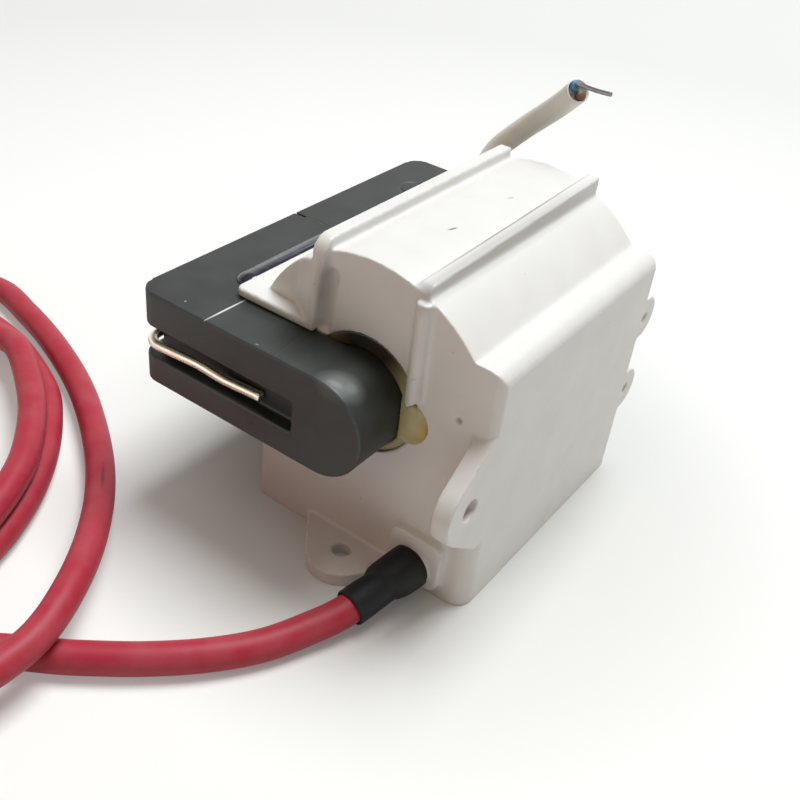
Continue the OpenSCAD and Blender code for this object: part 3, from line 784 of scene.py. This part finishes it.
@dataclass
class PhotoCamera:
    """The camera, where the photograph was taken from. Lengths in millimetres, angles in degrees."""

    place: Point = (86.2, -157.9, 145.5)
    azimuth: float = 31.72
    elevation: float = 35.62
    roll: float = 7.15
    lens: float = 46.08
    sensor: float = 36.0
    nearest: float = 10.0

    def build(self) -> None:
        """Adds the camera and makes it the scene's own."""
        data = bpy.data.cameras.new("photo_camera")
        data.lens = self.lens
        data.sensor_width = self.sensor
        data.clip_start = self.nearest * MM
        camera = bpy.data.objects.new("photo_camera", data)
        bpy.context.scene.collection.objects.link(camera)
        round_z, up, roll = (math.radians(a) for a in (self.azimuth, self.elevation, self.roll))
        back = Vector((math.sin(round_z) * math.cos(up), -math.cos(round_z) * math.cos(up), math.sin(up)))
        level = Vector((math.cos(round_z), math.sin(round_z), 0.0))
        upright = back.cross(level)
        right = math.cos(roll) * level + math.sin(roll) * upright
        axes = Matrix((right, back.cross(right), back)).transposed().to_4x4()
        camera.matrix_world = Matrix.Translation(Vector(self.place) * MM) @ axes
        bpy.context.scene.camera = camera


@dataclass
class RedLead:
    """The high-voltage lead: root, run on the table and loose coil, with its shrink sleeve. In metres."""

    diameter: float = 0.006
    length: float = 1.05
    exit: Point = (0.0174, -0.035, 0.0068)
    way: Point = (-0.2057, -0.9679, -0.1444)
    root: float = 0.008
    sleeve: float = 0.0155
    run: tuple[Point, ...] = (
        (0.011, -0.058, 0.0035), (0.007, -0.066, 0.003), (0.001, -0.074, 0.003),
        (-0.006, -0.081, 0.003), (-0.012, -0.086, 0.003), (-0.0171, -0.0899, 0.003),
    )
    coil_middle: tuple[float, float] = (-0.08, -0.085)
    coil_turn: float = -37.0
    coil_half: tuple[float, float] = (0.071, 0.044)
    # Angle in degrees, share of the coil's size, and height of the lead's middle there
    coil_marks: tuple[Point, ...] = (
        (38.0, 0.89, 0.003), (31.0, 0.81, 0.003), (21.0, 0.73, 0.003),
        (5.0, 0.675, 0.003), (-18.0, 0.67, 0.003), (-45.0, 0.75, 0.003),
        (-90.0, 0.84, 0.003), (-135.0, 0.91, 0.003), (-152.0, 1.0, 0.003),
        (-172.0, 1.11, 0.003), (-192.0, 1.17, 0.003), (-208.0, 1.16, 0.003),
        (-220.0, 1.09, 0.003), (-233.0, 1.04, 0.003), (-248.0, 1.012, 0.003),
        (-262.0, 1.0, 0.0033), (-276.0, 1.004, 0.0042), (-290.0, 1.015, 0.0065),
        (-304.0, 1.033, 0.009), (-317.0, 1.03, 0.0092), (-330.0, 0.99, 0.009),
        (-360.0, 0.96, 0.006), (-395.0, 0.97, 0.003), (-450.0, 1.02, 0.003),
        (-490.0, 1.02, 0.0045), (-520.0, 0.98, 0.0092), (-540.0, 0.95, 0.009),
        (-565.0, 0.92, 0.005), (-588.0, 0.888, 0.003), (-605.0, 0.852, 0.003),
        (-629.0, 0.746, 0.003), (-655.0, 0.644, 0.003), (-685.0, 0.575, 0.003),
        (-730.0, 0.56, 0.003), (-790.0, 0.67, 0.003), (-850.0, 0.74, 0.003),
        (-910.0, 0.8, 0.0055), (-953.0, 0.82, 0.0086), (-967.0, 0.765, 0.0088),
        (-996.0, 0.68, 0.0088), (-1023.0, 0.6, 0.0088), (-1060.0, 0.58, 0.0085),
        (-1110.0, 0.6, 0.0085),
    )
    # Spacing of the points along the coil, in degrees, and along the whole lead
    coil_step: float = 12.0
    step: float = 0.0015
    # The bare conductor at the cut end: its thickness, its length and the bevel of its cut
    wire_d: float = 0.0014
    bare: float = 0.004
    bevel: float = 0.0001
    # The sleeve's radius over the spigot and on the lead, and the air in its open end
    sleeve_r: float = 0.0045
    neck_r: float = 0.0036
    bore_air: float = 0.00005
    # Which way and how much the sleeve's shoulder faces aside
    slant: Point = (0.25, -0.02, -0.18)

    def coil(self) -> list[Vector]:
        """The points of the coil's turns, from where the run joins it to the cut end."""
        turn = math.radians(self.coil_turn)
        long_way = Vector((math.cos(turn), math.sin(turn), 0.0))
        short_way = Vector((-math.sin(turn), math.cos(turn), 0.0))
        marks = [Vector(m) for m in self.coil_marks]
        points = []
        for angle, size, height in smooth_path(marks, self.coil_step):
            a = math.radians(angle)
            points.append(
                Vector((*self.coil_middle, max(height, self.diameter / 2)))
                + size * self.coil_half[0] * math.cos(a) * long_way
                + size * self.coil_half[1] * math.sin(a) * short_way
            )
        return points

    def build(self) -> None:
        """Adds the lead, its sleeve and the bare conductor at its cut end."""
        leaves = Vector(self.exit)
        way = Vector(self.way).normalized()
        route = [leaves - self.root * way, leaves, leaves + self.sleeve * way]
        route += [Vector(p) for p in self.run] + self.coil()
        path = smooth_path(route, self.step)
        curve = cord_curve("red_lead", path, self.diameter / 2)
        lead = add_piece(curve, "red_lead", LEAD_SILICONE, ("hv_lead", "hv_lead_coil"))
        sleeve = self.sleeve_mesh(leaves, way)
        tube = add_piece(sleeve, "black_sleeve", SLEEVE_POLYOLEFIN, ("shrink_sleeve",))
        LOG.info("red lead is %.3f m long", sum((b - a).length for a, b in zip(path, path[1:])))
        end, last_way = path[-1], headings(path)[-1]
        strip = [
            Ring(end + share * self.bare * last_way, last_way, self.wire_d / 2) for share in (-0.5, 0, 0.5, 1)
        ]
        strip.append(Ring(end + (self.bare + self.bevel) * last_way, last_way, self.wire_d / 2 - self.bevel))
        strand = loft("lead_wire_end", strip, sides=16)
        wire = add_piece(strand, "lead_wire_end", WIRE_TINNED, ())

    def sleeve_mesh(self, leaves: Vector, way: Vector) -> Mesh:
        """The shrink sleeve: wide over the spigot, a soft neck, tight on the lead, hollow at its end."""
        wide, tight = self.sleeve_r, self.neck_r
        bore = self.diameter / 2 + self.bore_air
        # Distance from the boss's face in millimetres, radius there, and share of the shoulder's slant
        profile = (
            (-0.4, wide - 0.5 * MM, 0.0),
            (0.1, wide - 0.3 * MM, 0.0),
            (0.25, wide - 0.02 * MM, 0.0),
            (1.5, wide, 0.0),
            (3.2, wide - 0.02 * MM, 0.3),
            (5.6, wide, 0.9),
            (6.4, wide - 0.08 * MM, 1.0),
            (6.9, wide - 0.3 * MM, 1.0),
            (7.4, (wide + tight) / 2, 1.0),
            (7.8, tight + 0.1 * MM, 1.0),
            (8.5, tight, 0.9),
            (11.0, tight, 0.3),
            (13.2, tight + 0.03 * MM, 0.0),
            (15.1, tight + 0.02 * MM, 0.0),
            (15.4, tight - 0.08 * MM, 0.0),
            (15.45, tight - 0.25 * MM, 0.0),
            (15.2, bore, 0.0),
            (14.0, bore, 0.0),
        )
        rings = []
        for at, radius, share in profile:
            faces = (way + share * Vector(self.slant)).normalized()
            rings.append(Ring(leaves + at * MM * way, faces, radius))
        return loft("black_sleeve", rings, sides=48)


@dataclass
class WhiteLead:
    """The two-core lead that leaves the potting at the back and ends cut and stripped. In metres."""

    diameter: float = 0.005
    length: float = 0.047
    route: tuple[Point, ...] = (
        (-0.018, 0.025, 0.0505), (-0.0184, 0.0295, 0.0508), (-0.0192, 0.034, 0.0522),
        (-0.0196, 0.0376, 0.055), (-0.0184, 0.0396, 0.0587), (-0.0154, 0.0402, 0.0624),
        (-0.0118, 0.0402, 0.0662), (-0.0083, 0.0396, 0.0696), (-0.0057, 0.0385, 0.0721),
        (-0.003, 0.037, 0.0748), (0.0004, 0.0345, 0.0784),
    )
    strand_d: float = 0.0022
    strand_off: float = 0.00115
    blue_out: float = 0.0008
    brown_out: float = 0.0003
    wire_d: float = 0.0009
    wire_route: tuple[Point, ...] = (
        (0.0022, 0.033, 0.0802), (0.0044, 0.0325, 0.0803), (0.0066, 0.0322, 0.0804),
        (0.0087, 0.032, 0.0806),
    )
    # How far the wire and the cores reach into the jacket, and the wire's first point past the blue core
    wire_in: float = 0.001
    strand_in: float = 0.003
    wire_air: float = 0.0001
    # Spacing of the points along the jacket and along the wire
    step: float = 0.001
    wire_step: float = 0.0004
    # Width of the rim and depth of the hollow at the jacket's cut
    rim: float = 0.00025
    cup: float = 0.0007

    def build(self) -> None:
        """Adds the jacket with its open end, the two cores and the bare wire."""
        path = smooth_path([Vector(p) for p in self.route], self.step)
        ways = headings(path)
        end, way = path[-1], ways[-1]
        radius = self.diameter / 2
        rings = [Ring(p, w, radius) for p, w in zip(path, ways)]
        # The cut: a slightly rounded edge, the rim, and the hollow inside it
        rings += [
            Ring(end + 0.08 * MM * way, way, radius - 0.06 * MM),
            Ring(end + 0.1 * MM * way, way, radius - self.rim),
            Ring(end - self.cup * way, way, radius - self.rim - 0.02 * MM),
        ]
        sheath = loft("white_jacket", rings)
        jacket = add_piece(sheath, "white_jacket", JACKET_VINYL, ("lead_jacket",))
        blue_side = way.cross(Vector((0.0, 1.0, 0.0))).normalized()
        off = self.strand_off * blue_side
        blue = self.strand("blue_core", end + off, way, self.blue_out, BLUE_VINYL, Slot.BLUE)
        brown = self.strand("brown_core", end - off, way, self.brown_out, BROWN_VINYL, Slot.BROWN)
        start = [end + off - self.wire_in * way, end + off + (self.blue_out + self.wire_air) * way]
        wire_path = smooth_path(start + [Vector(p) for p in self.wire_route], self.wire_step)
        wire_rings = [Ring(p, w, self.wire_d / 2) for p, w in zip(wire_path, headings(wire_path))]
        bare = loft("bare_wire_end", wire_rings, sides=16)
        wire = add_piece(bare, "bare_wire_end", WIRE_TINNED, ("bare_wire",))

    def strand(
        self, node: str, middle: Vector, way: Vector, out: float, finish: Finish, slot: Slot
    ) -> bpy.types.Object:
        """Adds one insulated core, with a rounded cut.

        Args:
            node: The CAD node that it stands for.
            middle: Middle of the core in the plane of the jacket's end.
            way: The way that it points.
            out: How far it stands out.
            finish: Its finish.
            slot: Its material slot; not used.
        Returns:
            The new piece.
        """
        name = node + "_end"
        radius = self.strand_d / 2
        profile = (
            (-self.strand_in, radius),
            (out - 0.25 * MM, radius),
            (out - 0.08 * MM, radius - 0.05 * MM),
            (out, radius - 0.2 * MM),
        )
        mesh = loft(name, [Ring(middle + at * way, way, r) for at, r in profile], sides=24)
        return add_piece(mesh, name, finish, (node,))


@dataclass
class CoilCase:
    """The moulded case with its potting. Sizes in millimetres."""

    shell_rounding: Rounding = Rounding(0.32, 5, 170_000)
    fill_rounding: Rounding = Rounding(0.6, 3, 60_000)
    glue_rounding: Rounding = Rounding(0.2, 8, 20_000)
    # Where the column's foot flows into the front
    valley_place: Point = (-9.0, -33.2, 56.0)
    valley_half: Point = (4.6, 4.0, 9.0)
    valley_passes: int = 14
    dent_place: Point = (21.2, -33.0, 42.0)
    dent_r: float = 1.1
    dent_depth: Point = (0.0, 0.35, 0.0)

    def shape(self, place: np.ndarray, links: np.ndarray) -> np.ndarray:
        """Melts the column's foot into the front, and presses the handling dent into it."""
        melted = melt(place, links, self.valley_place, self.valley_half, self.valley_passes)
        return press(melted, self.dent_place, self.dent_r, self.dent_depth)

    def build(self) -> None:
        """Adds the case, the potting and the glue ring behind it."""
        add_soft("case_shell", "moulded_case", CASE_PBT, self.shell_rounding, self.shape)
        add_soft("potting", "potting_fill", POTTING_EPOXY, self.fill_rounding)
        add_soft("leg_glue_rear", "rear_leg_glue", GLUE_AMBER, self.glue_rounding)


@dataclass
class FerriteCore:
    """The two core halves with their spacers, clip and glue. Sizes in millimetres."""

    half_rounding: Rounding = Rounding(0.3, 2, 110_000)
    glue_rounding: Rounding = Rounding(0.2, 10, 60_000)
    bead_rounding: Rounding = Rounding(0.2, 4, 60_000)
    # The die's ring mark on the rear half
    ring_place: Point = (-33.3, 30.3, 46.5)
    ring_r: float = 3.4
    ring_w: float = 0.6
    ring_depth: float = 0.25
    # How much wider the dark bead is than its CAD node
    bead_spread: float = 1.1
    # The clip's wire and bends, how far its arms lean in, and how much longer they are than its CAD node's
    wire_r: float = 1.0
    bend_r: float = 3.4
    bend_steps: int = 12
    squeeze_deg: float = 4.6
    arm_longer: float = 0.9
    # How far the clip's arms bend down, after which share of their length, and over which share
    arm_drop: float = 0.9
    drop_start: float = 0.35
    drop_length: float = 0.35
    # The clip's cut ends: length of the bevel, and share of the radius that is left
    cut_bevel: float = 0.15
    cut_share: float = 0.85

    def ring_mark(self, place: np.ndarray, _links: np.ndarray) -> np.ndarray:
        """Presses the die's ring mark into the rear half's top."""
        off = (place - np.array(self.ring_place) * MM) / MM
        reach = np.hypot(off[:, 0], off[:, 1])
        share = np.clip(1 - np.abs(reach - self.ring_r) / self.ring_w, 0, 1) * (np.abs(off[:, 2]) < 1)
        moved = place.copy()
        moved[:, 2] -= share * self.ring_depth * MM
        return moved

    def spread_bead(self, place: np.ndarray, _links: np.ndarray) -> np.ndarray:
        """Lets the dark bead run out further over the core's top."""
        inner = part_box("core_glue_bead")[1].x
        moved = place.copy()
        moved[:, 0] = inner + self.bead_spread * (moved[:, 0] - inner)
        return moved

    def build(self) -> None:
        """Adds the core halves, spacers, clip and the front glue."""
        add_soft("core_half_front", "ferrite_front", CORE_FERRITE, self.half_rounding)
        add_soft(
            "core_half_rear", "ferrite_rear", CORE_FERRITE, self.half_rounding, self.ring_mark
        )
        dress_node("outer_leg_spacer", SPACER_FILM)
        dress_node("round_leg_spacer", SPACER_FILM)
        add_piece(self.clip_mesh(), "spring_clip", CLIP_STEEL, ("core_clip",))
        add_soft("leg_glue_front", "front_leg_glue", GLUE_AMBER, self.glue_rounding)
        add_soft("core_glue_bead", "dark_bead", GLUE_DARK, self.bead_rounding, self.spread_bead)

    def clip_mesh(self) -> Mesh:
        """The bent wire clip with its cut ends, placed by its CAD node's box."""
        wire_r, bend_r, drop, cut = (
            size * MM for size in (self.wire_r, self.bend_r, self.arm_drop, self.cut_bevel)
        )
        squeeze = math.radians(self.squeeze_deg)
        low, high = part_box("core_clip")
        height = (low.z + high.z) / 2
        side_x = low.x + wire_r
        bend_x = side_x + bend_r
        bend_y = high.y - wire_r - bend_r
        arm_end = high.x + self.arm_longer * MM
        steps = self.bend_steps
        path = []
        for sign in (-1, 1):
            half = [Vector((side_x, sign * bend_y * i / steps, height)) for i in range(steps + 1)]
            for i in range(1, steps + 1):
                a = (math.pi / 2 + squeeze) * i / steps
                aside = sign * (bend_y + bend_r * math.sin(a))
                half.append(Vector((bend_x - bend_r * math.cos(a), aside, height)))
            way = Vector((math.cos(squeeze), -sign * math.sin(squeeze), 0.0))
            corner = half[-1]
            reach = (arm_end - corner.x) / way.x
            for i in range(1, 2 * steps + 1):
                along = i / (2 * steps)
                bent = min(max((along - self.drop_start) / self.drop_length, 0.0), 1.0)
                sag = Vector((0.0, 0.0, -drop * bent * bent * (3 - 2 * bent)))
                half.append(corner + way * reach * along + sag)
            path = half[::-1] if sign < 0 else path + half[1:]
        ways = headings(path)
        rings = [Ring(p, w, wire_r) for p, w in zip(path, ways)]
        narrow = wire_r * self.cut_share
        rings[:1] = [Ring(path[0], ways[0], narrow), Ring(path[0] + cut * ways[0], ways[0], wire_r)]
        rings[-1:] = [Ring(path[-1] - cut * ways[-1], ways[-1], wire_r), Ring(path[-1], ways[-1], narrow)]
        return loft("spring_clip", rings)


@dataclass
class InnerCoil:
    """The bobbin, windings and rectifiers sealed in the case, which stay as they are in the frame."""

    sections: int = 6
    rods: int = 3

    def build(self) -> None:
        """Dresses the hidden nodes."""
        dress_node("primary_bobbin", BOBBIN_NYLON)
        dress_node("secondary_former", BOBBIN_NYLON)
        dress_node("primary_winding", WINDING_COPPER)
        for i in range(self.sections):
            dress_node(f"secondary_section_{i + 1}", WINDING_COPPER)
        for i in range(self.rods):
            dress_node(f"rectifier_rod_{i + 1}", RECTIFIER_EPOXY)


@dataclass(frozen=True)
class Lamp:
    """A soft rectangular lamp that faces the object. Lengths in metres, power in watts."""

    name: str
    place: Point
    size: tuple[float, float]
    power: float
    colour: str

    def build(self, target: Vector) -> None:
        """Adds the lamp and turns it to a target."""
        data = bpy.data.lights.new(self.name, "AREA")
        data.shape = "RECTANGLE"
        data.size, data.size_y = self.size
        data.energy = self.power
        data.color = linear(self.colour)[:3]
        lamp = bpy.data.objects.new(self.name, data)
        bpy.context.scene.collection.objects.link(lamp)
        lamp.location = self.place
        lamp.rotation_mode = "QUATERNION"
        lamp.rotation_quaternion = (target - Vector(self.place)).to_track_quat("-Z", "Y")


@dataclass
class Studio:
    """The pale floor and the plain soft light of a room with a window behind the object."""

    floor_half: float = 3.0
    # How much whiter the floor is to the eye: from one distance to the next, and the share reached there;
    # none close round the object is painted shade, and the most from 8.5 to 16 cm out is a painted pool of
    # light
    lifts_and_painted_light: tuple[Point, ...] = ((0.03, 0.085, 0.26), (0.16, 0.34, 0.12), (0.7, 2.0, 1.0))
    floor_colour: str = "#D4D2CE"
    room_colour: str = "#FFEBDC"
    room_level: float = 0.13
    # The white wall's height, as the sine of the angle where it starts to fade and where it ends
    backdrop_rise: tuple[float, float] = (0.38, 0.65)
    target: Point = (0.0, -0.01, 0.03)
    lamps: tuple[Lamp, ...] = (
        Lamp("wall", (-0.35, -1.2, 0.5), (0.6, 0.9), 1.0, "#FFDDBB"),
        Lamp("ceiling", (0.1, -0.7, 1.7), (1.2, 1.2), 2.4, "#FFE6D2"),
        Lamp("window", (0.12, 0.66, 1.91), (1.06, 1.06), 49.0, "#F3FBFF"),
    )

    def build(self) -> None:
        """Adds the floor, the lamps and the room's light."""
        self.build_floor()
        for lamp in self.lamps:
            lamp.build(Vector(self.target))
        self.build_room()

    def seen(self, tree: Tree) -> Socket:
        """Tells the rays that look at the backdrop from those that only carry its light.

        Args:
            tree: The node tree of the floor's material or of the world.
        Returns:
            A socket that is 1 for what the camera sees, also in reflections and through clear material.
        """
        path = add_node(tree, "LightPath").outputs
        shown = path["Is Camera Ray"]
        for kind in ("Is Glossy Ray", "Is Transmission Ray"):
            shown = add_node(tree, "Math", {0: shown, 1: path[kind]}, operation="MAXIMUM").outputs["Value"]
        return shown

    def build_floor(self) -> None:
        """Adds the floor, which keeps the object's shadow, has painted shade close round the object and a
        painted pool of light just past it, and turns white far away.
        """
        half = self.floor_half
        corners = [(-half, -half, 0), (half, -half, 0), (half, half, 0), (-half, half, 0)]
        mesh = bpy.data.meshes.new("floor")
        mesh.from_pydata(corners, [], [(0, 1, 2, 3)])
        floor = bpy.data.objects.new("floor", mesh)
        bpy.context.scene.collection.objects.link(floor)
        finish = bpy.data.materials.new("painted_table_white")
        finish.use_nodes = True
        tree = finish.node_tree
        tree.nodes.clear()
        paint = add_node(tree, "BsdfDiffuse", {"Color": linear(self.floor_colour)})
        place = add_node(tree, "TexCoord").outputs["Object"]
        away = add_node(tree, "VectorMath", {0: place}, operation="LENGTH").outputs["Value"]
        share = 0.0
        # no lift close round the object is painted shade; the most lift a little further out is a painted
        # pool of light
        for start, end, reached in self.lifts_and_painted_light:
            fade = {"Value": away, "From Min": start, "From Max": end, "To Min": share, "To Max": reached}
            share = add_node(tree, "MapRange", fade).outputs["Result"]
        level = add_node(tree, "Math", {0: self.seen(tree), 1: share}, operation="MULTIPLY").outputs["Value"]
        lift = add_node(tree, "Emission", {"Strength": level})
        both = add_node(tree, "AddShader", {0: paint.outputs["BSDF"], 1: lift.outputs["Emission"]})
        add_node(tree, "OutputMaterial", {"Surface": both.outputs["Shader"]})
        mesh.materials.append(finish)

    def build_room(self) -> None:
        """Lights the scene from all sides, and shows a white wall past the floor's edge."""
        world = bpy.data.worlds.new("white_room")
        world.use_nodes = True
        bpy.context.scene.world = world
        tree = world.node_tree
        tree.nodes.clear()
        dim = {"Color": linear(self.room_colour), "Strength": self.room_level}
        light = add_node(tree, "Background", dim).outputs["Background"]
        white = add_node(tree, "Background", {"Color": linear("#FFFFFF")}).outputs["Background"]
        way = add_node(tree, "TexCoord").outputs["Generated"]
        rise = add_node(tree, "SeparateXYZ", {"Vector": way}).outputs["Z"]
        low, high = self.backdrop_rise
        fade = {"Value": rise, "From Min": low, "From Max": high, "To Min": 1.0, "To Max": 0.0}
        wall = add_node(tree, "MapRange", fade).outputs["Result"]
        share = add_node(tree, "Math", {0: self.seen(tree), 1: wall}, operation="MULTIPLY").outputs["Value"]
        shown = add_node(tree, "MixShader", {0: share, 1: light, 2: white}).outputs["Shader"]
        add_node(tree, "OutputWorld", {"Surface": shown})


def main() -> None:
    """Builds the camera, the leads, the other pieces and the studio, in that order."""
    logging.basicConfig(level=logging.INFO, format="%(message)s")
    bpy.context.scene.view_settings.view_transform = "Standard"
    PhotoCamera().build()
    RedLead().build()
    WhiteLead().build()
    CoilCase().build()
    FerriteCore().build()
    InnerCoil().build()
    Studio().build()


if __name__ == "__main__":
    main()
